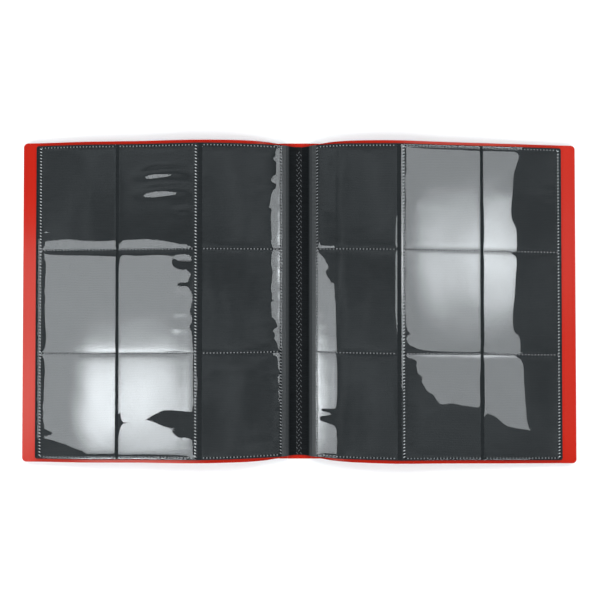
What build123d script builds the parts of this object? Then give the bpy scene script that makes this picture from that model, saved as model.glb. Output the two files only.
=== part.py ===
from build123d import *
import os

# Trading card binder: a soft polypropylene cover with welded side-loading pocket leaves, lying
# open in the middle. Millimetres. +X runs across the open binder to the reader's right, +Y up
# the page and +Z away from the table. The origin is on the table, under the middle of the spine.

# Cover: one sheet with four creases, so it moves as five flat pieces
COVER_HEIGHT = 295.0
COVER_THICKNESS = 0.8
COVER_CORNER_RADIUS = 4.0
SPINE_WIDTH = 22.0
STRIP_WIDTH = 8.0
PANEL_WIDTH = 237.0
CREASE_CLEARANCE = 0.05

# Leaves: stiff black sheets with a row of clear film pockets on both faces
LEAVES_PER_SIDE = 10
LEAF_HEIGHT = 287.5
LEAF_INNER_EDGE = 12.0
LEAF_OUTER_EDGE = 243.5
LEAF_CORNER_RADIUS = 2.0
SHEET_THICKNESS = 0.3
LEAF_CLEARANCE = 0.1
STACK_CLEARANCE = 0.05

# Pockets: three columns of three, each for a card of 63.5 x 88 in a sleeve of up to 66 x 92
POCKET_ROWS = 3
POCKET_WIDTH = 70.5
POCKET_GAP = 0.2
FILM_THICKNESS = 0.1
SEAM_WIDTH = 2.6
LEAF_MARGIN = 2.0
MOUTH_STRIP = 3.8
MOUTH_GAP = 2.9

# Weld that holds the folded middle of every sheet to the spine
WELD_HALF_WIDTH = 5.5
WELD_HEIGHT = 3.2
WELD_GROOVE_PITCH = 2.5
WELD_GROOVE_WIDTH = 0.8
WELD_GROOVE_DEPTH = 0.4

# Positions that follow from the sizes above
HALF_SPINE = SPINE_WIDTH / 2
CREASE_Z = COVER_THICKNESS / 2
PANEL_CREASE = HALF_SPINE + STRIP_WIDTH
EDGE_RETREAT = COVER_THICKNESS / 2 + CREASE_CLEARANCE
FILM_REACH = POCKET_GAP + FILM_THICKNESS
LEAF_THICKNESS = SHEET_THICKNESS + 2 * FILM_REACH
LEAF_PITCH = LEAF_THICKNESS + LEAF_CLEARANCE
FIRST_LEAF_Z = COVER_THICKNESS + STACK_CLEARANCE + LEAF_THICKNESS / 2
SIDES = {"left": -1, "right": 1}
COVERS = {"front": -1, "back": 1}


def block(x_from, x_to, y_from, y_to, z_from, z_to):
    """A box between two corners."""
    centre = ((x_from + x_to) / 2, (y_from + y_to) / 2, (z_from + z_to) / 2)
    return Pos(*centre) * Box(abs(x_to - x_from), y_to - y_from, z_to - z_from)


def crease_roll(x):
    """The rounded edge of a creased piece, on the crease's own axis."""
    return Pos(x, 0, CREASE_Z) * Rot(90, 0, 0) * Cylinder(COVER_THICKNESS / 2, COVER_HEIGHT)


def spine_panel():
    half = HALF_SPINE - EDGE_RETREAT
    tall = COVER_HEIGHT / 2
    return block(-half, half, -tall, tall, 0, COVER_THICKNESS)


def hinge_strip(side):
    """The narrow strip between the two creases of one cover, on side -1 or 1."""
    tall = COVER_HEIGHT / 2
    outer = side * (PANEL_CREASE - EDGE_RETREAT)
    flat = block(side * HALF_SPINE, outer, -tall, tall, 0, COVER_THICKNESS)
    return flat + crease_roll(side * HALF_SPINE)


def cover_panel(side):
    tall = COVER_HEIGHT / 2
    outer = side * (PANEL_CREASE + PANEL_WIDTH)
    flat = block(side * PANEL_CREASE, outer, -tall, tall, 0, COVER_THICKNESS)
    upright = flat.edges().filter_by(Axis.Z).sort_by(Axis.X)
    corners = upright[-2:] if side > 0 else upright[:2]
    return fillet(corners, COVER_CORNER_RADIUS) + crease_roll(side * PANEL_CREASE)


def weld_band():
    """The stacked middles of the sheets, welded down, with pressed grooves along the top."""
    tall = LEAF_HEIGHT / 2
    top = COVER_THICKNESS + WELD_HEIGHT
    band = block(-WELD_HALF_WIDTH, WELD_HALF_WIDTH, -tall, tall, COVER_THICKNESS, top)
    for place in (-1, 0, 1):
        middle = place * WELD_GROOVE_PITCH
        left = middle - WELD_GROOVE_WIDTH / 2
        right = middle + WELD_GROOVE_WIDTH / 2
        band -= block(left, right, -tall, tall, top - WELD_GROOVE_DEPTH, top)
    return band


def leaf_sheet(side, z):
    """The stiff black sheet of one leaf, centred on height z."""
    tall = LEAF_HEIGHT / 2
    half = SHEET_THICKNESS / 2
    inner, outer = side * LEAF_INNER_EDGE, side * LEAF_OUTER_EDGE
    flat = block(inner, outer, -tall, tall, z - half, z + half)
    upright = flat.edges().filter_by(Axis.Z).sort_by(Axis.X)
    corners = upright[-2:] if side > 0 else upright[:2]
    return fillet(corners, LEAF_CORNER_RADIUS)


def column_edges():
    """Each pocket column as (seam's far edge, seam's near edge, mouth), measured from the spine."""
    inner_seam = LEAF_INNER_EDGE + LEAF_MARGIN
    inner_mouth = inner_seam + SEAM_WIDTH + POCKET_WIDTH
    middle_seam = inner_mouth + MOUTH_STRIP
    middle_mouth = middle_seam + SEAM_WIDTH + POCKET_WIDTH
    outer_mouth = middle_mouth + MOUTH_GAP
    outer_seam = outer_mouth + POCKET_WIDTH + SEAM_WIDTH
    return [
        (inner_seam, inner_seam + SEAM_WIDTH, inner_mouth),
        (middle_seam, middle_seam + SEAM_WIDTH, middle_mouth),
        (outer_seam, outer_seam - SEAM_WIDTH, outer_mouth),
    ]


def pocket_strip(side, z, face, column):
    """One column of pockets: a film on one face of the sheet, welded down one side and across."""
    far, near, mouth = (side * x for x in column)
    tall = LEAF_HEIGHT / 2 - LEAF_MARGIN
    skin = z + face * SHEET_THICKNESS / 2
    low, high = sorted((skin, skin + face * POCKET_GAP))
    film = block(far, mouth, -tall, tall, *sorted((skin + face * POCKET_GAP, skin + face * FILM_REACH)))
    strip = film + block(far, near, -tall, tall, low, high)
    pitch = (2 * tall - SEAM_WIDTH) / POCKET_ROWS
    for row in range(POCKET_ROWS + 1):
        start = -tall + row * pitch
        strip += block(far, mouth, start, start + SEAM_WIDTH, low, high)
    return strip


def leaf_pockets(side, z):
    """The six pocket strips of one leaf: three columns on each face."""
    strips = [pocket_strip(side, z, face, column) for face in (-1, 1) for column in column_edges()]
    return Compound(children=strips)


def save(name, shape):
    export_step(shape, f"parts/{name}.step")


save("spine_panel", spine_panel())
save("weld_band", weld_band())
for name, side in COVERS.items():
    save(f"{name}_hinge_strip", hinge_strip(side))
    save(f"{name}_cover_panel", cover_panel(side))
for name, side in SIDES.items():
    for number in range(LEAVES_PER_SIDE):
        height = FIRST_LEAF_Z + number * LEAF_PITCH
        save(f"{name}_leaf_{number + 1:02d}_sheet", leaf_sheet(side, height))
        save(f"{name}_leaf_{number + 1:02d}_pockets", leaf_pockets(side, height))
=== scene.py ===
"""Looks of the trading card binder: arched red cover, black leaves, clear wavy pockets, welds."""
import math

import bpy
import numpy as np
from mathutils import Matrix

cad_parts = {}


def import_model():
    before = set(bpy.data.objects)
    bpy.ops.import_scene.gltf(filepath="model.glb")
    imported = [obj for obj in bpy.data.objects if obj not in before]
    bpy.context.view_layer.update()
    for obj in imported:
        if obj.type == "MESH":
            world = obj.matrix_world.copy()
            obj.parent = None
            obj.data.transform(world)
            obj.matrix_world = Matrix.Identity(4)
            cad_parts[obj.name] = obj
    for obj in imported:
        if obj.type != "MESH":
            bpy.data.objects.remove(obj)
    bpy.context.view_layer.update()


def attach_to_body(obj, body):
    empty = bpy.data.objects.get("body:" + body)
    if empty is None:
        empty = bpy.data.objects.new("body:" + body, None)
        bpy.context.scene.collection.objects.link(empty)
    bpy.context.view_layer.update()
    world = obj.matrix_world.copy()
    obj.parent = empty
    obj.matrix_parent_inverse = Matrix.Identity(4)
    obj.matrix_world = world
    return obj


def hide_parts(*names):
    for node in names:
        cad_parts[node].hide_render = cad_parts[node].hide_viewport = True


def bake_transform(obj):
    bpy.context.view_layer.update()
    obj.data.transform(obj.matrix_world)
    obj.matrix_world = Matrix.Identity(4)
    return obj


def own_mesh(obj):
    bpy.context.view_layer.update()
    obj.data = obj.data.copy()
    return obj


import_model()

MM = 0.001
LEFT, RIGHT = -1, 1
SIDE_NAME = {LEFT: "left", RIGHT: "right"}
COVER_NAME = {LEFT: "front", RIGHT: "back"}
FACE_NAME = {1: "top", -1: "back"}

# Sizes in millimetres, as in the CAD model
COVER_HALF_HEIGHT = 147.5
COVER_THICKNESS = 0.8
COVER_CORNER = 4.0
HALF_SPINE = 11.0
PANEL_CREASE = 19.0
LEAVES = 10
LEAF_HALF_HEIGHT = 143.75
LEAF_INNER = 12.0
LEAF_EDGE = 243.5
LEAF_CORNER = 2.0
POCKET_WIDTH = 70.5
SEAM_WIDTH = 2.6
LEAF_MARGIN = 2.0
END_MARGIN = 0.7
EDGE_MARGIN = 0.5
MOUTH_STRIP = 3.8
MOUTH_GAP = 2.9
ROWS = 3
# The films aren't laid quite alike on the two sides of a leaf
INNER_SEAM_SHIFT = 0.6
COLUMN_SHIFT = {LEFT: 1.3, RIGHT: 2.8}

# The soft cover reaches a little further out than its flat solid, and is thinned at each crease
COVER_EDGE = {LEFT: 258.0, RIGHT: 259.2}
CREASE_DEPTH = 0.4
CREASE_WIDTH = 0.6
CREASE_REACH = 1.4

# How thin the empty leaves really lie, and the pattern pressed into them
SHEET_HALF = 0.06
LEAF_SPACING = 0.32
ROOT_SPACING = 0.45
SPREAD_BY = 40.0
RIB_PITCH = 1.5
WEAVE_PITCH = 0.9
WEAVE_SHARE = 0.35
HATCH_PITCH = 2.4
HATCH_START = (8.8, 10.4)
HATCH_END = (15.6, 16.4)
# Painted shade by the spine fades out between these distances from the middle
PAINTED_GUTTER_SHADE_REACH = (12, 24)

# The pocket films lift off the sheet beside each seam in two stages, as (share, reach)
FILM_THICKNESS = 0.03
FILM_GAP = 0.01
FILM_LIFT = 0.30
LIFT_BY_SEAM = ((0.15, 0.6), (0.85, 8.0))
LIFT_BY_ROW = 2.2
BACK_SLACK = 0.2
HIDDEN_SLACK = 0.25
HEAD_ON_GLOSS = 0.065
GRAZING_GLOSS = 0.75
WELD_FLAT = 0.9
INNER_FLANGE = 1.3
FLANGE_CURL = 0.07
MOUTH_LIP = 0.12
LIP_REACH = 1.6
# On the right page the inner mouth's lip droops, round this height
DROOPING_LIP = -0.16
DROOP_MIDDLE = 10
DROOP_HALF = 60
# Ripples all over a film, as (wavelength, height)
RIPPLES = ((75, 0.060), (48, 0.030), (30, 0.012), (17, 0.0042))
RIPPLE_REACH = 9.0
# Puckers along every column seam, as (wavelength, height), and more by the spine
PUCKERS = ((23, 0.07), (13, 0.045), (8, 0.02))
PUCKER_GATE = 91
PUCKER_RISE = 2.0
PUCKER_FADE = 12.0
PUCKER_BY_ROW = 5.0
SPINE_PUCKERS = {
    LEFT: ((37, 0.14), (19, 0.15), (11, 0.09)),
    RIGHT: ((37, 0.08), (19, 0.06), (11, 0.03)),
}
SPINE_PUCKER_RISE = 4.5
SPINE_PUCKER_FADE = 9.0
SPINE_PUCKER_DRIFT = 0.05
# Lasting folds in the top films, as (distance out, y, half length, half width, height)
FOLDS = {
    LEFT: [
        (119, 118, 29, 5.0, 0.85), (120, 101.5, 27, 4.8, 0.72), (106, 82, 8, 3.5, 0.35),
        (106, 12, 9, 3.5, 0.35), (105, -25, 9, 3.5, 0.35), (105, 36, 9, 5, -0.35),
        (104, 3, 6, 3.5, -0.25), (105, -11, 8, 3, 0.25), (60, -60, 26, 7, 0.25),
    ],
    RIGHT: [(150, -96, 34, 9, 0.25), (100, 90, 12, 6, 0.15), (200, 100, 26, 10, 0.2)],
}
FOLD_BEND = 300

# Steps of the meshes, in millimetres or, for rows, as a share of the half height
UNROLL_STEPS = 600
CORNER_POINTS = 7
COVER_STEP = 3
COVER_ROW_STEP = 0.04
HINGE_COLUMNS = 9
CREASE_COLUMNS = 13
SPINE_COLUMNS = 23
FINE_PAGE_STEP = 2.5
PLAIN_PAGE_STEP = 5
PAGE_ROW_STEP = 0.05
FINE_FILM_STEP = 1.5
SECOND_FILM_STEP = 4
PLAIN_FILM_STEP = 9
MARGIN_COLUMNS = 14
BAND_MESH_COLUMNS = 19
BAND_STEP = 0.6
# Where a film's mesh has extra columns and rows, from its seam, its mouth and each row seam
SEAM_STEPS = (0.3, 0.9, 1.2, 1.6, 2.1, 2.7)
MOUTH_STEPS = (2.6, 1.8, 1.1, 0.5)
FIELD_START = 3.5
ROW_STEPS = (-4, -3.2, -2.5, -1.9, -1.4, -0.9, 0, 0.9, 1.4, 1.9, 2.5, 3.2, 4)
HAIR = 1e-6

# Where a leaf's margin leaves the weld band, and the band itself with its ridges
MARGIN_START = 2.6
TOP_MARGIN_START = 7.5
MARGIN_OVERLAP = 0.15
MARGIN_BOW = 0.45
MARGIN_EDGE_HEIGHT = 0.95
MARGIN_EDGE_SPACING = 0.07
BAND_HALF = 2.7
BAND_TOP = 1.75
BAND_CROWN = 0.25
BAND_SWELL = 0.06
BAND_COLUMNS = 3
BAND_PITCH = 4.8
BAND_END = 1.6
BAND_SLANT = 48
BAND_RIDGE = (1.5, 0.42)
BAND_RIDGE_HEIGHT = 0.22

# Welds along the seams: pitch, then half length and half width of the dots and of the puckers
SEAM_SHARE = 0.12
FIRST_WELD = 1.2
COLUMN_WELD_PITCH = 2.87
COLUMN_WELD = (1.35, 0.66)
COLUMN_GLINT = (1.1, 0.42)
COLUMN_WELD_SLANT = math.radians(26)
ROW_WELD_PITCH = 3.03
ROW_WELD = (0.85, 0.76)
ROW_GLINT = (0.66, 0.60)
DOT_HEIGHT = 0.13
COLUMN_PUCKER_HEIGHT = 0.09
ROW_PUCKER_HEIGHT = 0.04
DOME_CORNERS = 8
DOME_RINGS = ((1.0, -0.5), (0.62, 0.75), (0.2, 1.0))

# Edges sharper than this aren't shaded smooth
SHARP_ANGLE = math.radians(50)

# The cross-section of the open binder: (distance from the middle, height)
PAGE_PROFILE = {
    LEFT: [
        (2.7, 1.7), (6, 2.5), (12, 6.0), (19, 8.0), (29, 9.9), (51, 13.2), (72, 15.2), (94, 16.1),
        (106, 15.4), (150, 12.9), (195, 12.0), (244, 8.3),
    ],
    RIGHT: [
        (2.7, 1.7), (6, 2.9), (12, 6.4), (16, 7.75), (22, 9.35), (30, 11.3), (36, 12.65), (55, 14.2),
        (80, 15.5), (91, 15.8), (103, 15.1), (135, 12.9), (185, 10.7), (244, 7.5),
    ],
}
COVER_PROFILE = {
    LEFT: [
        (17, 0.4), (20.5, 0.4), (30, 5.0), (45, 9.2), (65, 11.5), (94, 12.6), (150, 9.7),
        (195, 8.6), (244, 5.1), (257, 4.8),
    ],
    RIGHT: [
        (17, 0.4), (20.5, 0.4), (30, 5.2), (45, 9.2), (65, 11.4), (91, 12.3), (135, 9.6),
        (185, 7.3), (244, 4.2), (257, 3.9),
    ],
}
# How far each half runs out of square, as millimetres down per millimetre out
SKEW = {LEFT: 0.0062, RIGHT: 0.0138}


# ---------------------------------------------------------------- curves

def smooth_curve(points, at):
    """A smooth curve through a few points, as cubic pieces with averaged tangents."""
    x, z = (np.array(c, float) for c in zip(*points))
    step = np.diff(z) / np.diff(x)
    slope = np.concatenate([[step[0]], (step[1:] + step[:-1]) / 2, [step[-1]]])
    at = np.asarray(at, float)
    inside = np.clip(at, x[0], x[-1])
    k = np.clip(np.searchsorted(x, inside, side="right") - 1, 0, len(x) - 2)
    width = x[k + 1] - x[k]
    t = (inside - x[k]) / width
    value = (
        z[k] * (1 + 2 * t) * (1 - t) ** 2
        + slope[k] * width * t * (1 - t) ** 2
        + z[k + 1] * t * t * (3 - 2 * t)
        + slope[k + 1] * width * t * t * (t - 1)
    )
    return value + (at - inside) * np.where(at > x[-1], slope[-1], slope[0])


def unroll(points, start):
    """Maps a flat distance along the sheet to the distance across the table, keeping its length."""
    across = np.linspace(start, points[-1][0], UNROLL_STEPS)
    height = smooth_curve(points, across)
    along = start + np.concatenate([[0], np.cumsum(np.hypot(np.diff(across), np.diff(height)))])
    return lambda flat: np.where(flat < start, flat, np.interp(flat, along, across))


LEAF_ACROSS = {side: unroll(PAGE_PROFILE[side], LEAF_INNER) for side in (LEFT, RIGHT)}
COVER_ACROSS = {side: unroll(COVER_PROFILE[side], PANEL_CREASE) for side in (LEFT, RIGHT)}


def leaf_height(side, number, across):
    """Height of a leaf's middle layer: the leaves fan out a little more near the spine."""
    across = np.asarray(across, float)
    share = np.clip((across - LEAF_INNER) / (SPREAD_BY - LEAF_INNER), 0, 1)
    spacing = ROOT_SPACING + (LEAF_SPACING - ROOT_SPACING) * share
    return smooth_curve(PAGE_PROFILE[side], across) - (LEAVES - number) * spacing


def skewed(side, across, y):
    """The soft binder lies a little out of square: the outer ends hang towards -Y."""
    return y - SKEW[side] * np.maximum(across - PANEL_CREASE, 0)


def spaced(start, end, step):
    """Even places from start to end, about a step apart."""
    count = max(2, int(round(abs(end - start) / step)) + 1)
    return np.linspace(start, end, count)


def corner_columns(start, end, step, radius):
    """Columns from start to end with a rounded outer corner's own columns at the end."""
    turn = np.linspace(0, math.pi / 2, CORNER_POINTS)
    middle = end - radius
    return np.concatenate([spaced(start, middle, step), middle + radius * np.sin(turn[1:])])


def corner_half_height(columns, end, half, radius):
    """Half the height of a sheet at each column, less where its corner is rounded."""
    into = np.clip((columns - (end - radius)) / radius, 0, 1)
    return half - radius * (1 - np.sqrt(np.clip(1 - into**2, 0, 1)))


# ---------------------------------------------------------------- meshes

def new_object(name, vertices, faces, materials, smooth=True):
    """A mesh object from points in millimetres. faces is an array of quads, or a list of them."""
    mesh = bpy.data.meshes.new(name)
    faces = np.asarray(faces, np.int32)
    mesh.vertices.add(len(vertices))
    mesh.vertices.foreach_set("co", (np.asarray(vertices, float) * MM).astype(np.float32).ravel())
    mesh.loops.add(faces.size)
    mesh.loops.foreach_set("vertex_index", faces.ravel())
    mesh.polygons.add(len(faces))
    mesh.polygons.foreach_set("loop_start", np.arange(len(faces), dtype=np.int32) * faces.shape[1])
    mesh.update(calc_edges=True)
    mesh.validate()
    mesh.polygons.foreach_set("use_smooth", np.full(len(mesh.polygons), smooth))
    mesh.set_sharp_from_angle(angle=SHARP_ANGLE)
    for finish in materials:
        mesh.materials.append(finish)
    thing = bpy.data.objects.new(name, mesh)
    bpy.context.scene.collection.objects.link(thing)
    return thing


def slab_parts(x, y, top, bottom):
    """Points and outward quads of a closed sheet from four equal grids; x grows along axis 0."""
    rows, columns = x.shape
    points = np.concatenate([
        np.stack([x, y, top], -1).reshape(-1, 3),
        np.stack([x, y, bottom], -1).reshape(-1, 3),
    ])
    index = np.arange(rows * columns).reshape(rows, columns)
    under = index + rows * columns
    a, b, c, d = index[:-1, :-1], index[1:, :-1], index[1:, 1:], index[:-1, 1:]
    quads = [np.stack([a, b, c, d], -1).reshape(-1, 4)]
    a, b, c, d = under[:-1, :-1], under[1:, :-1], under[1:, 1:], under[:-1, 1:]
    quads.append(np.stack([d, c, b, a], -1).reshape(-1, 4))
    ring = np.concatenate([index[:, 0], index[-1, 1:], index[-2::-1, -1], index[0, -2:0:-1]])
    low = ring + rows * columns
    quads.append(np.stack([ring, low, np.roll(low, -1), np.roll(ring, -1)], -1))
    return points, np.concatenate(quads)


def join_parts(parts):
    """One set of points and faces from several."""
    points, faces, count = [], [], 0
    for p, f in parts:
        points.append(p)
        faces.append(f + count)
        count += len(p)
    return np.concatenate(points), np.concatenate(faces)


def mirrored(points, faces, side):
    """Turns parts made for the right half to the side they belong on, faces still outward."""
    if side == RIGHT:
        return points, faces
    return points * [-1, 1, 1], faces[:, ::-1]


# ---------------------------------------------------------------- materials

def material(name):
    made = bpy.data.materials.new(name)
    made.use_nodes = True
    made.node_tree.nodes.clear()
    return made, made.node_tree.nodes, made.node_tree.links


def node(nodes, kind, **values):
    made = nodes.new(kind)
    for key, value in values.items():
        if key in made.inputs:
            made.inputs[key].default_value = value
        else:
            setattr(made, key, value)
    return made


def maths(nodes, links, operation, *values):
    """A maths node fed by sockets or plain numbers."""
    made = nodes.new("ShaderNodeMath")
    made.operation = operation
    for socket, value in zip(made.inputs, values):
        if isinstance(value, (int, float)):
            socket.default_value = value
        else:
            links.new(value, socket)
    return made.outputs[0]


def wave(nodes, links, distance, pitch):
    """A sine of a distance in millimetres."""
    return maths(nodes, links, "SINE", maths(nodes, links, "MULTIPLY", distance, 2 * math.pi / pitch))


def object_point(nodes, links):
    """The piece's own coordinates in millimetres."""
    where = nodes.new("ShaderNodeTexCoord")
    scaled = node(nodes, "ShaderNodeVectorMath", operation="SCALE")
    scaled.inputs["Scale"].default_value = 1 / MM
    links.new(where.outputs["Object"], scaled.inputs[0])
    return scaled.outputs[0]


def noise(nodes, links, point, scale, detail=2.0, stretch=(1, 1, 1)):
    mapping = node(nodes, "ShaderNodeMapping")
    mapping.inputs["Scale"].default_value = stretch
    links.new(point, mapping.inputs[0])
    made = node(nodes, "ShaderNodeTexNoise", Scale=scale, Detail=detail)
    links.new(mapping.outputs[0], made.inputs["Vector"])
    return made.outputs["Fac"]


def ramp(nodes, links, value, low, high, from_low=0.0, from_high=1.0):
    made = node(nodes, "ShaderNodeMapRange")
    made.inputs["From Min"].default_value = from_low
    made.inputs["From Max"].default_value = from_high
    made.inputs["To Min"].default_value = low
    made.inputs["To Max"].default_value = high
    links.new(value, made.inputs["Value"])
    return made.outputs[0]


def mix_colour(nodes, links, factor, first, second):
    made = node(nodes, "ShaderNodeMix", data_type="RGBA")
    links.new(factor, made.inputs[0])
    made.inputs[6].default_value = (*first, 1)
    made.inputs[7].default_value = (*second, 1)
    return made.outputs[2]


def mix_sockets(nodes, links, factor, first, second):
    made = node(nodes, "ShaderNodeMix", data_type="RGBA")
    links.new(factor, made.inputs[0])
    links.new(first, made.inputs[6])
    links.new(second, made.inputs[7])
    return made.outputs[2]


def bump(nodes, links, height, distance, strength=1.0, normal=None):
    made = node(nodes, "ShaderNodeBump", Strength=strength, Distance=distance * MM)
    links.new(height, made.inputs["Height"])
    if normal is not None:
        links.new(normal, made.inputs["Normal"])
    return made.outputs[0]


def principled(nodes, links, **values):
    shader = node(nodes, "ShaderNodeBsdfPrincipled", **values)
    out = nodes.new("ShaderNodeOutputMaterial")
    links.new(shader.outputs[0], out.inputs[0])
    return shader


def cover_material():
    """Satin red polypropylene with a fine leather-like grain."""
    made, nodes, links = material("satin_red_polypropylene")
    point = object_point(nodes, links)
    shader = principled(nodes, links)
    patches = noise(nodes, links, point, 0.02, 3)
    grain = noise(nodes, links, point, 2.2, 3)
    pebbles = noise(nodes, links, point, 0.9, 1)
    red = mix_colour(nodes, links, patches, (0.43, 0.0090, 0.0024), (0.47, 0.0115, 0.0035))
    links.new(red, shader.inputs["Base Color"])
    links.new(ramp(nodes, links, grain, 0.17, 0.25), shader.inputs["Roughness"])
    first = bump(nodes, links, pebbles, 0.012, 0.4)
    links.new(bump(nodes, links, grain, 0.008, 0.5, first), shader.inputs["Normal"])
    shader.inputs["Specular Tint"].default_value = (1, 0.9, 0.78, 1)
    return made


def leaf_ribs(nodes, links, point, split):
    """Fine ribs that wander a little across the page, crossed by a fainter weave."""
    sway = maths(nodes, links, "MULTIPLY", noise(nodes, links, point, 0.05, 2), 3.0)
    along = maths(nodes, links, "ADD", split.outputs[1], sway)
    rib = wave(nodes, links, along, RIB_PITCH)
    weave = wave(nodes, links, split.outputs[0], WEAVE_PITCH)
    return maths(nodes, links, "ADD", rib, maths(nodes, links, "MULTIPLY", weave, WEAVE_SHARE))


def hatched_strip(nodes, links, from_spine):
    """1 in the hatched strip of the margin, 0 outside it."""
    begun = ramp(nodes, links, from_spine, 0, 1, *HATCH_START)
    unended = ramp(nodes, links, from_spine, 1, 0, *HATCH_END)
    return maths(nodes, links, "SMOOTH_MIN", begun, unended, 0.05)


def leaf_material():
    """Black ribbed sheet with painted shade that darkens it towards the spine, and a hatched, shinier
    strip in its margin whose raised points carry painted highlights.
    """
    made, nodes, links = material("ribbed_black_sheet")
    point = object_point(nodes, links)
    split = nodes.new("ShaderNodeSeparateXYZ")
    links.new(point, split.inputs[0])
    from_spine = maths(nodes, links, "ABSOLUTE", split.outputs[0])
    ribs = leaf_ribs(nodes, links, point, split)
    hatch = diamonds(nodes, links, split, HATCH_PITCH)
    strip = hatched_strip(nodes, links, from_spine)
    streaks = noise(nodes, links, point, 0.11, 3, (1, 5, 1))
    rib_height = 1 + WEAVE_SHARE
    lit_ribs = ramp(nodes, links, ribs, 0.2, 1, -rib_height, rib_height)
    shade = maths(nodes, links, "MULTIPLY", lit_ribs, streaks)
    # Painted shade: near the spine the sheet is coloured darker, as the gutter lies in shade
    painted_gutter_shade = mix_colour(nodes, links, shade, (0.0016, 0.0022, 0.0027), (0.0115, 0.0142, 0.0158))
    under_film = mix_colour(nodes, links, shade, (0.0085, 0.0102, 0.0112), (0.0225, 0.0262, 0.0285))
    outward = ramp(nodes, links, from_spine, 0, 1, *PAINTED_GUTTER_SHADE_REACH)
    plain = mix_sockets(nodes, links, outward, painted_gutter_shade, under_film)
    # Painted highlights: the raised points of the margin's hatch are coloured lighter
    painted_hatch_glint = mix_colour(nodes, links, hatch, (0.006, 0.007, 0.0075), (0.05, 0.055, 0.058))
    shader = principled(nodes, links)
    links.new(mix_sockets(nodes, links, strip, plain, painted_hatch_glint), shader.inputs["Base Color"])
    links.new(ramp(nodes, links, strip, 0.52, 0.33), shader.inputs["Roughness"])
    links.new(ramp(nodes, links, strip, 0.07, 0.5), shader.inputs["Specular IOR Level"])
    first = bump(nodes, links, ribs, 0.03, 0.6)
    relief = maths(nodes, links, "MULTIPLY", hatch, strip)
    links.new(bump(nodes, links, relief, 0.12, 0.8, first), shader.inputs["Normal"])
    return made


def diamonds(nodes, links, split, pitch):
    """Raised points where two families of slanting lines cross."""
    rising = maths(nodes, links, "ADD", split.outputs[0], split.outputs[1])
    falling = maths(nodes, links, "SUBTRACT", split.outputs[0], split.outputs[1])
    one = wave(nodes, links, rising, pitch)
    other = wave(nodes, links, falling, pitch)
    return ramp(nodes, links, maths(nodes, links, "MULTIPLY", one, other), 0, 1, -1, 1)


def film_material():
    """Clear film: mostly see-through, with a mirror-like gloss that grows towards grazing."""
    made, nodes, links = material("clear_pocket_film")
    point = object_point(nodes, links)
    facing = node(nodes, "ShaderNodeLayerWeight", Blend=0.5)
    edge = maths(nodes, links, "POWER", facing.outputs["Facing"], 5.0)
    grazing = maths(nodes, links, "MULTIPLY", edge, GRAZING_GLOSS)
    gloss_share = maths(nodes, links, "ADD", grazing, HEAD_ON_GLOSS)
    clear = node(nodes, "ShaderNodeBsdfTransparent")
    clear.inputs["Color"].default_value = (0.985, 0.99, 0.99, 1)
    gloss = node(nodes, "ShaderNodeBsdfGlossy")
    gloss.inputs["Color"].default_value = (1, 1, 1, 1)
    haze = noise(nodes, links, point, 0.08, 3)
    links.new(ramp(nodes, links, haze, 0.0, 0.03), gloss.inputs["Roughness"])
    mixed = nodes.new("ShaderNodeMixShader")
    links.new(gloss_share, mixed.inputs[0])
    links.new(clear.outputs[0], mixed.inputs[1])
    links.new(gloss.outputs[0], mixed.inputs[2])
    out = nodes.new("ShaderNodeOutputMaterial")
    links.new(mixed.outputs[0], out.inputs[0])
    return made


def pucker_material(name, dark, light, roughness, gloss):
    """Film drawn up between two welds, coloured light as painted glints on its ridges."""
    made, nodes, links = material(name)
    point = object_point(nodes, links)
    shader = principled(nodes, links, Roughness=roughness)
    shader.inputs["Specular IOR Level"].default_value = gloss
    uneven = noise(nodes, links, point, 0.7, 2)
    links.new(mix_colour(nodes, links, uneven, dark, light), shader.inputs["Base Color"])
    return made


def weld_dot_material():
    """Black sheet showing where the film is melted into it."""
    made, nodes, links = material("melted_weld_dot")
    point = object_point(nodes, links)
    shader = principled(nodes, links)
    uneven = noise(nodes, links, point, 1.4, 2)
    black = mix_colour(nodes, links, uneven, (0.004, 0.0048, 0.0053), (0.010, 0.0115, 0.0125))
    links.new(black, shader.inputs["Base Color"])
    links.new(ramp(nodes, links, uneven, 0.5, 0.65), shader.inputs["Roughness"])
    shader.inputs["Specular IOR Level"].default_value = 0.04
    return made


def band_material(name, dark, light):
    """Pressed black sheet in uneven tone between two colours; the knurl ridges are given light
    colours as painted highlights.
    """
    made, nodes, links = material(name)
    point = object_point(nodes, links)
    shader = principled(nodes, links)
    uneven = noise(nodes, links, point, 0.9, 3)
    links.new(mix_colour(nodes, links, uneven, dark, light), shader.inputs["Base Color"])
    links.new(ramp(nodes, links, uneven, 0.25, 0.45), shader.inputs["Roughness"])
    shader.inputs["Specular IOR Level"].default_value = 0.15
    return made


RED = cover_material()
BLACK = leaf_material()
CLEAR = film_material()
# Painted highlights: the puckers between the welds are coloured light for the glints their ridges
# would catch
PUCKER_PAINTED_GLINT = pucker_material("pucker_film_painted_glints", (0.28, 0.30, 0.31), (0.68, 0.71, 0.73), 0.28, 0.5)
ROW_PUCKER_PAINTED_GLINT = pucker_material(
    "row_pucker_film_painted_glints", (0.08, 0.086, 0.089), (0.28, 0.294, 0.305), 0.25, 1.0
)
WELD_DOT = weld_dot_material()
KNURL_BASE = band_material("pressed_black_weld", (0.002, 0.0025, 0.003), (0.006, 0.007, 0.008))
# Painted highlights: the knurl ridges are coloured much lighter than the band they stand on
KNURL_PAINTED_GLINT = band_material("knurl_with_painted_glints", (0.035, 0.04, 0.043), (0.13, 0.138, 0.145))


# ---------------------------------------------------------------- cover

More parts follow.
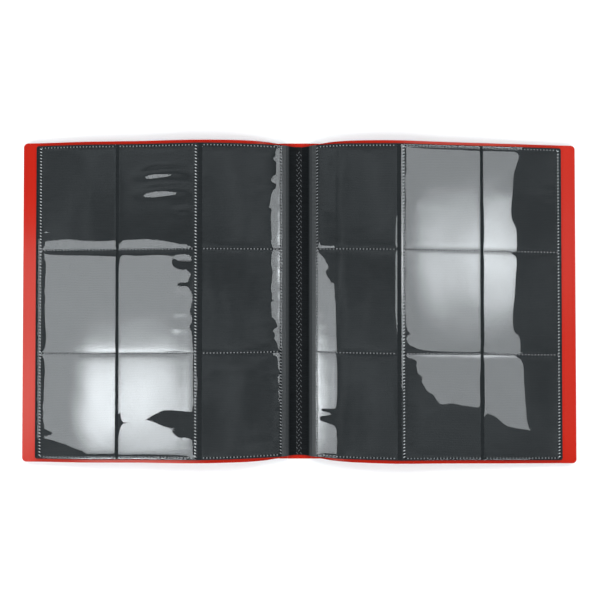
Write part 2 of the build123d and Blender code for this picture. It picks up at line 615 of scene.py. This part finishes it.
def cover_parts(side, flat, across, height):
    """A length of cover: a closed sheet over the given columns, thinned to a hinge at each crease."""
    rows = spaced(-1, 1, COVER_ROW_STEP)
    half = corner_half_height(flat, COVER_EDGE[side], COVER_HALF_HEIGHT, COVER_CORNER)
    x = np.repeat(across[:, None], len(rows), 1)
    y = skewed(side, x, half[:, None] * rows[None, :])
    middle = np.repeat(height[:, None], len(rows), 1)
    thickness = np.full(len(flat), COVER_THICKNESS)
    for crease in (HALF_SPINE, PANEL_CREASE):
        thickness -= CREASE_DEPTH * np.exp(-(((np.abs(flat) - crease) / CREASE_WIDTH) ** 2))
    thickness = thickness[:, None]
    return slab_parts(x, y, middle + thickness / 2, middle - thickness / 2)


def cover_skin(name, side, flat, across, height):
    """One piece of the red cover, on its side of the spine."""
    points, faces = mirrored(*cover_parts(side, flat, across, height), side)
    skin = new_object(name, points, faces, [RED])
    return skin


def cover_crease(side, crease, outer_body, height):
    """The thinned stretch of cover at a crease, between two bodies."""
    start = crease - CREASE_REACH
    end = crease + CREASE_REACH
    flat = np.linspace(start, end, CREASE_COLUMNS)
    fold = cover_skin(f"{outer_body}_crease", side, flat, flat, height)
    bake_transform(fold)


def cover_half(side):
    """Panel, hinge strip, and the two thin creases beside them."""
    name = COVER_NAME[side]
    flat = corner_columns(PANEL_CREASE + CREASE_REACH, COVER_EDGE[side], COVER_STEP, COVER_CORNER)
    across = COVER_ACROSS[side](flat)
    height = smooth_curve(COVER_PROFILE[side], across)
    panel = cover_skin(f"{name}_cover_skin", side, flat, across, height)
    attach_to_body(panel, f"{name}_cover")
    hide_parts(f"{name}_cover_panel")
    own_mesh(panel)
    flat = np.linspace(HALF_SPINE + CREASE_REACH, PANEL_CREASE - CREASE_REACH, HINGE_COLUMNS)
    height = np.full(len(flat), COVER_THICKNESS / 2)
    strip = cover_skin(f"{name}_hinge_skin", side, flat, flat, height)
    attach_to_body(strip, f"{name}_hinge")
    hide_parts(f"{name}_hinge_strip")
    height = np.full(CREASE_COLUMNS, COVER_THICKNESS / 2)
    cover_crease(side, HALF_SPINE, f"{name}_hinge", height)
    across = PANEL_CREASE + np.linspace(-CREASE_REACH, CREASE_REACH, CREASE_COLUMNS)
    height = smooth_curve(COVER_PROFILE[side], across)
    cover_crease(side, PANEL_CREASE, f"{name}_cover", height)


def spine_skin():
    """The flat spine between the two inner creases."""
    flat = np.linspace(-HALF_SPINE + CREASE_REACH, HALF_SPINE - CREASE_REACH, SPINE_COLUMNS)
    spine = cover_skin("spine_skin", RIGHT, flat, flat, np.full(len(flat), COVER_THICKNESS / 2))
    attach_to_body(spine, "spine")
    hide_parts("spine_panel")


# ---------------------------------------------------------------- leaves

def column_edges(side):
    """Each pocket column as (seam's far edge, seam's near edge, mouth), from the spine outwards."""
    inner_seam = LEAF_INNER + LEAF_MARGIN + INNER_SEAM_SHIFT
    inner_mouth = LEAF_INNER + LEAF_MARGIN + SEAM_WIDTH + POCKET_WIDTH + COLUMN_SHIFT[side]
    middle_seam = inner_mouth + MOUTH_STRIP
    middle_mouth = middle_seam + SEAM_WIDTH + POCKET_WIDTH
    outer_mouth = middle_mouth + MOUTH_GAP
    outer_seam = min(outer_mouth + POCKET_WIDTH + SEAM_WIDTH, LEAF_EDGE - EDGE_MARGIN)
    return [
        (inner_seam + SEAM_WIDTH - INNER_FLANGE, inner_seam + SEAM_WIDTH, inner_mouth),
        (middle_seam, middle_seam + SEAM_WIDTH, middle_mouth),
        (outer_seam, outer_seam - SEAM_WIDTH, outer_mouth),
    ]


COLUMNS = {side: column_edges(side) for side in (LEFT, RIGHT)}
FILM_HALF_HEIGHT = LEAF_HALF_HEIGHT - END_MARGIN
ROW_PITCH = (2 * FILM_HALF_HEIGHT - SEAM_WIDTH) / ROWS
ROW_SEAMS = [-FILM_HALF_HEIGHT + SEAM_WIDTH / 2 + row * ROW_PITCH for row in range(ROWS + 1)]


def risen(distance, reach):
    """0 at a seam, and nearly 1 a few reaches away from it."""
    return 1 - np.exp(-distance / reach)


def film_ripples(rng, flat, y):
    """Shallow waves in random directions all over a film."""
    total = np.zeros_like(flat)
    for wavelength, size in RIPPLES:
        for _ in range(2):
            heading = rng.uniform(0, math.pi)
            phase = rng.uniform(0, 2 * math.pi)
            along = flat * math.cos(heading) + y * math.sin(heading)
            total += size * np.sin(2 * math.pi * along / wavelength + phase)
    return total


def seam_puckers(rng, y, from_seam):
    """Short waves along a column seam, stronger at some heights than at others."""
    total = np.zeros_like(y)
    for wavelength, size in PUCKERS:
        phase = rng.uniform(0, 2 * math.pi)
        gate = 0.5 + 0.5 * np.sin(2 * math.pi * y / PUCKER_GATE + rng.uniform(0, 6))
        total += size * gate * np.sin(2 * math.pi * y / wavelength + phase)
    return total * np.exp(-from_seam / PUCKER_FADE) * risen(from_seam, PUCKER_RISE)


def spine_puckers(rng, side, y, from_seam):
    """Longer waves beside the seam next to the spine."""
    total = np.zeros_like(y)
    for wavelength, size in SPINE_PUCKERS[side]:
        phase = rng.uniform(0, 2 * math.pi) + SPINE_PUCKER_DRIFT * from_seam
        total += size * np.sin(2 * math.pi * y / wavelength + phase)
    return total * np.exp(-from_seam / SPINE_PUCKER_FADE) * risen(from_seam, SPINE_PUCKER_RISE)


def lasting_folds(folds, flat, y):
    """Bent ridges and hollows, each fading out at its ends and sides."""
    total = np.zeros_like(flat)
    for out, up, half_length, half_width, size in folds:
        along = flat - out
        aside = y - up + along**2 / FOLD_BEND
        total += size * np.exp(-((along / half_length) ** 4) - (aside / half_width) ** 2)
    return total


def film_relief(side, flat, y, column, seed, curl, folds, lip_size):
    """Height of a film above its sheet: held down at the seams, and uneven between them."""
    _, near, mouth = column
    rng = np.random.default_rng(seed)
    inward = np.sign(mouth - near)
    from_seam = np.maximum((flat - near) * inward - WELD_FLAT, 0)
    past_seam = np.maximum((near - flat) * inward - WELD_FLAT, 0)
    to_row = np.min([np.abs(y - seam) for seam in ROW_SEAMS], axis=0)
    to_row = np.maximum(to_row - WELD_FLAT, 0)
    held = sum(share * risen(from_seam, reach) for share, reach in LIFT_BY_SEAM)
    held = held * risen(to_row, LIFT_BY_ROW)
    loose = risen(from_seam, RIPPLE_REACH) * risen(to_row, RIPPLE_REACH)
    ripple = film_ripples(rng, flat, y)
    pucker = seam_puckers(rng, y, from_seam)
    if near < SPREAD_BY:
        pucker = pucker + spine_puckers(rng, side, y, from_seam)
    lip = lip_size * np.exp(-np.abs(mouth - flat) / LIP_REACH)
    lifted = FILM_LIFT + lasting_folds(folds, flat, y) + lip
    return lifted * held + ripple * loose + pucker * risen(to_row, PUCKER_BY_ROW) + curl * past_seam


def lay(side, number, flat, y, lift):
    """Points on a leaf, lifted off its middle layer. All arrays have the same shape."""
    across = LEAF_ACROSS[side](flat)
    return across, skewed(side, across, y), leaf_height(side, number, across) + lift


def page_sheet(side, number, step):
    """The black sheet of a leaf."""
    flat = corner_columns(LEAF_INNER, LEAF_EDGE, step, LEAF_CORNER)
    rows = spaced(-1, 1, PAGE_ROW_STEP)
    half = corner_half_height(flat, LEAF_EDGE, LEAF_HALF_HEIGHT, LEAF_CORNER)
    grid = np.repeat(flat[:, None], len(rows), 1)
    x, y, z = lay(side, number, grid, half[:, None] * rows[None, :], 0)
    return slab_parts(x, y, z + SHEET_HALF, z - SHEET_HALF)


def film_strip(side, number, face, column, step, seed):
    """One column of pocket film, 1 above the sheet or -1 under it."""
    far, near, mouth = column
    inward = np.sign(mouth - near)
    flange = spaced(*sorted((far, near)), WELD_FLAT)
    by_seam = near + inward * np.array(SEAM_STEPS)
    field = spaced(*sorted((near + inward * FIELD_START, mouth - inward * FIELD_START)), step)
    by_mouth = mouth - inward * np.array(MOUTH_STEPS)
    flat = np.unique(np.concatenate([flange, by_seam, field, by_mouth, [mouth]]))
    by_row = np.add.outer(ROW_SEAMS, ROW_STEPS).ravel()
    y = np.unique(np.concatenate([spaced(-FILM_HALF_HEIGHT, FILM_HALF_HEIGHT, step), by_row]))
    y = y[np.abs(y) <= FILM_HALF_HEIGHT + HAIR]
    grid_x, grid_y = np.meshgrid(flat, y, indexing="ij")
    curl = FLANGE_CURL if side == RIGHT and column == COLUMNS[side][1] else 0
    folds = FOLDS[side] if number == LEAVES and face > 0 else []
    lip_size = MOUTH_LIP
    if side == RIGHT and column == COLUMNS[side][0]:
        lip_size = DROOPING_LIP * np.exp(-(((grid_y - DROOP_MIDDLE) / DROOP_HALF) ** 4))
    relief = film_relief(side, grid_x, grid_y, column, seed, curl, folds, lip_size)
    if face < 0:
        relief = np.minimum(relief, FILM_LIFT) * BACK_SLACK
    elif number < LEAVES:
        relief = np.minimum(relief, FILM_LIFT) * HIDDEN_SLACK
    lift = face * (SHEET_HALF + FILM_GAP + relief)
    x, y, z = lay(side, number, grid_x, grid_y, lift)
    return slab_parts(x, y, z + FILM_THICKNESS / 2, z - FILM_THICKNESS / 2)


def film_step(number, face):
    """Mesh size of a film: fine on the top leaf, coarse inside the stack."""
    if number == LEAVES and face > 0:
        return FINE_FILM_STEP
    return SECOND_FILM_STEP if number >= LEAVES - 1 else PLAIN_FILM_STEP


def leaf_seed(side, number, face, place):
    """A different seed for the random waves of every film."""
    return 1000 * (side + 1) + 40 * number + 10 * (face + 1) + place


def weld_places(side, column_mark, row_mark, shift):
    """Marks along every seam, moved by a shift in pitches.

    Each is (distance out, y, half length, half width, slant).
    """
    places = []
    for far, near, mouth in COLUMNS[side]:
        line = near + (far - near) * SEAM_SHARE
        for k in range(int(2 * FILM_HALF_HEIGHT / COLUMN_WELD_PITCH)):
            y = -FILM_HALF_HEIGHT + FIRST_WELD + (k + shift) * COLUMN_WELD_PITCH
            places.append((line, y, *column_mark, COLUMN_WELD_SLANT))
        start, end = sorted((near, mouth))
        for seam in ROW_SEAMS:
            for k in range(int((end - start) / ROW_WELD_PITCH)):
                out = start + (k + 0.5 + shift) * ROW_WELD_PITCH
                places.append((out, seam, *row_mark, math.pi / 2))
    return places


def dome_parts(places, height):
    """Low eight-sided domes, as flat places with a lift, and their faces."""
    out, y, length, width, slant = (np.array(c)[:, None] for c in zip(*places))
    turn = np.arange(DOME_CORNERS) * 2 * math.pi / DOME_CORNERS
    rings = []
    for share, lift in DOME_RINGS:
        along = share * length * np.cos(turn)
        wide = share * width * np.sin(turn)
        ring_x = out + along * np.cos(slant) - wide * np.sin(slant)
        ring_y = y + along * np.sin(slant) + wide * np.cos(slant)
        rings.append((ring_x, ring_y, np.full_like(ring_x, lift * height)))
    x, y, lift = (np.concatenate(c, 1) for c in zip(*rings))
    each = np.arange(DOME_CORNERS)
    following = (each + 1) % DOME_CORNERS
    ring = np.stack([each, following, following + DOME_CORNERS, each + DOME_CORNERS], -1)
    crown = 2 * DOME_CORNERS + np.array([(0, 1, 2, 3), (0, 3, 4, 7), (4, 5, 6, 7)])
    quads = np.concatenate([ring, ring + DOME_CORNERS, crown])
    first = len(DOME_RINGS) * DOME_CORNERS * np.arange(len(out))[:, None, None]
    return x, y, lift, (quads + first).reshape(-1, 4)


def weld_marks(side, number, face, kind, places, height, finish):
    """A leaf's weld marks of one kind, as domes standing on its films."""
    x, y, lift, quads = dome_parts(places, height)
    across, y, z = lay(side, number, x, y, face * (SHEET_HALF + FILM_THICKNESS + lift))
    points, faces = mirrored(np.stack([across, y, z], -1).reshape(-1, 3), quads, side)
    if face < 0:
        faces = faces[:, ::-1]
    name = f"{SIDE_NAME[side]}_leaf_{number:02d}_{kind}_{FACE_NAME[face]}"
    piece = new_object(name, points, faces, [finish])
    attach(piece, side, number)


def build_welds(side, number, face):
    """The melted dots of one face, and the puckers between them, coloured with painted glints.

    The puckers stand taller on the column seams away from the spine.
    """
    dots = weld_places(side, COLUMN_WELD, ROW_WELD, 0)
    glints = weld_places(side, COLUMN_GLINT, ROW_GLINT, 0.5)
    tall = []
    low = []
    for place in glints:
        on_outer_column = place[-1] == COLUMN_WELD_SLANT and place[0] > SPREAD_BY
        (tall if on_outer_column else low).append(place)
    weld_marks(side, number, face, "weld_dots", dots, DOT_HEIGHT, WELD_DOT)
    weld_marks(side, number, face, "column_puckers", tall, COLUMN_PUCKER_HEIGHT, PUCKER_PAINTED_GLINT)
    weld_marks(side, number, face, "row_puckers", low, ROW_PUCKER_HEIGHT, ROW_PUCKER_PAINTED_GLINT)


def attach(piece, side, number):
    """A leaf's piece rides on its body, with a mesh of its own."""
    name = SIDE_NAME[side]
    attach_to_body(piece, f"{name}_leaf_{number:02d}")
    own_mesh(piece)


def build_leaf(side, number):
    """A leaf's sheet, its six films, its welds if they can be seen, and its margin."""
    name = f"{SIDE_NAME[side]}_leaf_{number:02d}"
    near_top = number >= LEAVES - 1
    step = FINE_PAGE_STEP if near_top else PLAIN_PAGE_STEP
    points, faces = mirrored(*page_sheet(side, number, step), side)
    page = new_object(f"{name}_page", points, faces, [BLACK])
    attach(page, side, number)
    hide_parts(f"{name}_sheet")
    strips = []
    for face in (1, -1):
        step = film_step(number, face)
        for place, column in enumerate(COLUMNS[side]):
            seed = leaf_seed(side, number, face, place)
            strips.append(film_strip(side, number, face, column, step, seed))
    points, faces = mirrored(*join_parts(strips), side)
    film = new_object(f"{name}_film", points, faces, [CLEAR])
    attach(film, side, number)
    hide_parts(f"{name}_pockets")
    if near_top:
        build_welds(side, number, 1)
    if number == LEAVES:
        build_welds(side, number, -1)
    build_margin(side, number)


def build_margin(side, number):
    """The bare margin of a leaf, from the weld band up to the stiff pocketed part.

    The top leaf's margin starts further out, and bends on the leaf below it.
    """
    name = f"{SIDE_NAME[side]}_leaf_{number:02d}"
    top_leaf = number == LEAVES
    start = TOP_MARGIN_START if top_leaf else MARGIN_START
    across = np.linspace(start, LEAF_INNER + MARGIN_OVERLAP, MARGIN_COLUMNS)
    root = float(leaf_height(side, number, LEAF_INNER))
    edge = MARGIN_EDGE_HEIGHT + MARGIN_EDGE_SPACING * number
    share = (across - MARGIN_START) / (LEAF_INNER - MARGIN_START)
    profile = edge + (root - edge) * share * (1 - MARGIN_BOW + MARGIN_BOW * share)
    rows = spaced(-1, 1, PAGE_ROW_STEP) * LEAF_HALF_HEIGHT
    x = np.repeat(across[:, None], len(rows), 1)
    y = np.repeat(rows[None, :], len(across), 0)
    z = np.repeat(profile[:, None], len(rows), 1)
    points, faces = mirrored(*slab_parts(x, y, z + SHEET_HALF, z - SHEET_HALF), side)
    margin = new_object(f"{name}_margin", points, faces, [BLACK])
    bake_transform(margin)


def crowned(x):
    """How much lower the band lies away from its middle line."""
    return BAND_CROWN * (x / BAND_HALF) ** 4


def weld_band():
    """The pressed band in the gutter, with a knurl of slanted ridges in zigzag columns."""
    flat = np.linspace(-BAND_HALF, BAND_HALF, BAND_MESH_COLUMNS)
    y = spaced(-LEAF_HALF_HEIGHT, LEAF_HALF_HEIGHT, BAND_STEP)
    grid_x, grid_y = np.meshgrid(flat, y, indexing="ij")
    swell = np.sin(2 * math.pi * grid_y / BAND_PITCH) * np.cos(math.pi * grid_x / BAND_HALF)
    top = BAND_TOP + BAND_SWELL * swell - crowned(grid_x)
    points, faces = slab_parts(grid_x, grid_y, top, np.full_like(top, COVER_THICKNESS))
    band = new_object("weld_band_base", points, faces, [KNURL_BASE])
    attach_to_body(band, "spine")
    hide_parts("weld_band")
    places = []
    for column in range(BAND_COLUMNS):
        out = (column - (BAND_COLUMNS - 1) / 2) * 2 * BAND_HALF / BAND_COLUMNS
        odd = column % 2
        slant = math.radians(BAND_SLANT if odd else -BAND_SLANT)
        for k in range(int((2 * LEAF_HALF_HEIGHT - 2) / BAND_PITCH)):
            y = -LEAF_HALF_HEIGHT + BAND_END + (k + 0.5 * odd) * BAND_PITCH
            places.append((out, y, *BAND_RIDGE, slant))
    x, y, lift, quads = dome_parts(places, BAND_RIDGE_HEIGHT)
    points = np.stack([x, y, BAND_TOP + lift - crowned(x)], -1).reshape(-1, 3)
    ridges = new_object("weld_band_knurl", points, quads, [KNURL_PAINTED_GLINT])
    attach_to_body(ridges, "spine")


spine_skin()
for half in (LEFT, RIGHT):
    cover_half(half)
    for leaf in range(1, LEAVES + 1):
        build_leaf(half, leaf)
weld_band()


# ---------------------------------------------------------------- stage

def floor():
    """A plain pale table top, just under the binder."""
    half = FLOOR_HALF
    corners = [(-half, -half, 0), (half, -half, 0), (half, half, 0), (-half, half, 0)]
    made, nodes, links = material("pale_floor")
    principled(nodes, links, **{"Base Color": (0.93, 0.93, 0.93, 1), "Roughness": 0.7})
    ground = new_object("floor", corners, [(0, 1, 2, 3)], [made], smooth=False)
    ground.location.z = -FLOOR_GAP * MM


def world():
    """Bright low down all round, dim and a little uneven overhead, as under a dark ceiling."""
    made = bpy.data.worlds.new("studio")
    bpy.context.scene.world = made
    made.use_nodes = True
    nodes, links = made.node_tree.nodes, made.node_tree.links
    nodes.clear()
    where = nodes.new("ShaderNodeTexCoord")
    split = nodes.new("ShaderNodeSeparateXYZ")
    links.new(where.outputs["Generated"], split.inputs[0])
    # The height of a direction is 0 at the horizon and 1 straight up
    up = split.outputs[2]
    horizon = ramp(nodes, links, up, 0.6, 0, 0.02, 0.2)
    overhead = ramp(nodes, links, up, 0.27, 0.195, 0.25, 0.70)
    level = maths(nodes, links, "ADD", overhead, horizon)
    patches = noise(nodes, links, where.outputs["Generated"], 5.0, 2)
    mottled = ramp(nodes, links, patches, 0.62, 1.42, 0.3, 0.7)
    background = nodes.new("ShaderNodeBackground")
    links.new(maths(nodes, links, "MULTIPLY", level, mottled), background.inputs["Strength"])
    background.inputs["Color"].default_value = (0.86, 0.945, 1, 1)
    out = nodes.new("ShaderNodeOutputWorld")
    links.new(background.outputs[0], out.inputs[0])


def softbox(name, outline, level, hot, hot_level):
    """A glowing card overhead, brighter round one point. Outline and point in millimetres."""
    made, nodes, links = material(name)
    where = nodes.new("ShaderNodeNewGeometry")
    offset = node(nodes, "ShaderNodeVectorMath", operation="DISTANCE")
    links.new(where.outputs["Position"], offset.inputs[0])
    offset.inputs[1].default_value = (hot[0] * MM, hot[1] * MM, SOFTBOX_HEIGHT * MM)
    spread = node(nodes, "ShaderNodeMapRange", interpolation_type="SMOOTHSTEP")
    spread.inputs["From Min"].default_value = 0
    spread.inputs["From Max"].default_value = HOT_REACH * MM
    spread.inputs["To Min"].default_value = hot_level
    spread.inputs["To Max"].default_value = level
    links.new(offset.outputs["Value"], spread.inputs["Value"])
    glow = nodes.new("ShaderNodeEmission")
    glow.inputs["Color"].default_value = SOFTBOX_COLOUR
    links.new(spread.outputs[0], glow.inputs["Strength"])
    out = nodes.new("ShaderNodeOutputMaterial")
    links.new(glow.outputs[0], out.inputs[0])
    points = [(x * MM, y * MM, SOFTBOX_HEIGHT * MM) for x, y in outline]
    mesh = bpy.data.meshes.new(name)
    mesh.from_pydata(points, [], [list(range(len(points)))])
    mesh.materials.append(made)
    card = bpy.data.objects.new(name, mesh)
    bpy.context.scene.collection.objects.link(card)
    card.visible_camera = False


def end_lamp(name, azimuth):
    """A broad soft lamp far beyond one end of the binder."""
    light = bpy.data.lights.new(name, "SUN")
    light.energy = LAMP_STRENGTH
    light.angle = math.radians(LAMP_SPREAD)
    holder = bpy.data.objects.new(name, light)
    bpy.context.scene.collection.objects.link(holder)
    holder.rotation_euler = (math.radians(90 - LAMP_ELEVATION), 0, math.radians(azimuth))


FLOOR_HALF = 12000
FLOOR_GAP = 0.2
SOFTBOX_HEIGHT = 1000
SOFTBOX_COLOUR = (0.92, 0.968, 1, 1)
HOT_REACH = 290
LAMP_ELEVATION = 40
LAMP_STRENGTH = 1.02
LAMP_SPREAD = 30

floor()
world()
softbox(
    "left_softbox",
    [
        (-480, 140), (-560, 190), (-1060, 210), (-1060, -420), (-900, -450), (-780, -500),
        (-740, -580), (-330, -580), (-300, -405), (-480, -388), (-560, -362), (-520, -328),
        (-380, -325), (-310, -300), (-290, -240), (-310, -170), (-370, 0), (-400, 80),
    ],
    level=2.1,
    hot=(-620, -290),
    hot_level=7.3,
)
softbox(
    "right_softbox",
    [
        (400, 640), (400, 430), (330, 390), (300, 330), (300, -20), (420, -110), (574, -290),
        (680, -350), (830, -400), (795, -250), (775, 0), (780, 300), (805, 490), (810, 640),
    ],
    level=1.85,
    hot=(680, 140),
    hot_level=6.2,
)
for number, azimuth in enumerate((-14, 14, 166, 194)):
    end_lamp(f"end_lamp_{number}", azimuth)

# Camera nearly straight above the open binder: width of its view on the table, and its small shifts
CAMERA_HEIGHT = 450.0
VIEW_WIDTH = 562.85
VIEW_SHIFT = (0.938, 0.469)
CAMERA_TILT = math.radians(0.61)
SENSOR = 36
camera_data = bpy.data.cameras.new("camera")
camera_data.sensor_width = SENSOR
camera_data.lens = SENSOR * CAMERA_HEIGHT / VIEW_WIDTH
camera_data.shift_x = VIEW_SHIFT[0] / VIEW_WIDTH
camera_data.shift_y = VIEW_SHIFT[1] / VIEW_WIDTH
camera = bpy.data.objects.new("camera", camera_data)
bpy.context.scene.collection.objects.link(camera)
camera.location = (0, -CAMERA_HEIGHT * math.tan(CAMERA_TILT) * MM, CAMERA_HEIGHT * MM)
camera.rotation_euler = (CAMERA_TILT, 0, 0)
bpy.context.scene.camera = camera
bpy.context.scene.view_settings.view_transform = "Standard"
bpy.context.scene.cycles.transparent_max_bounces = 24
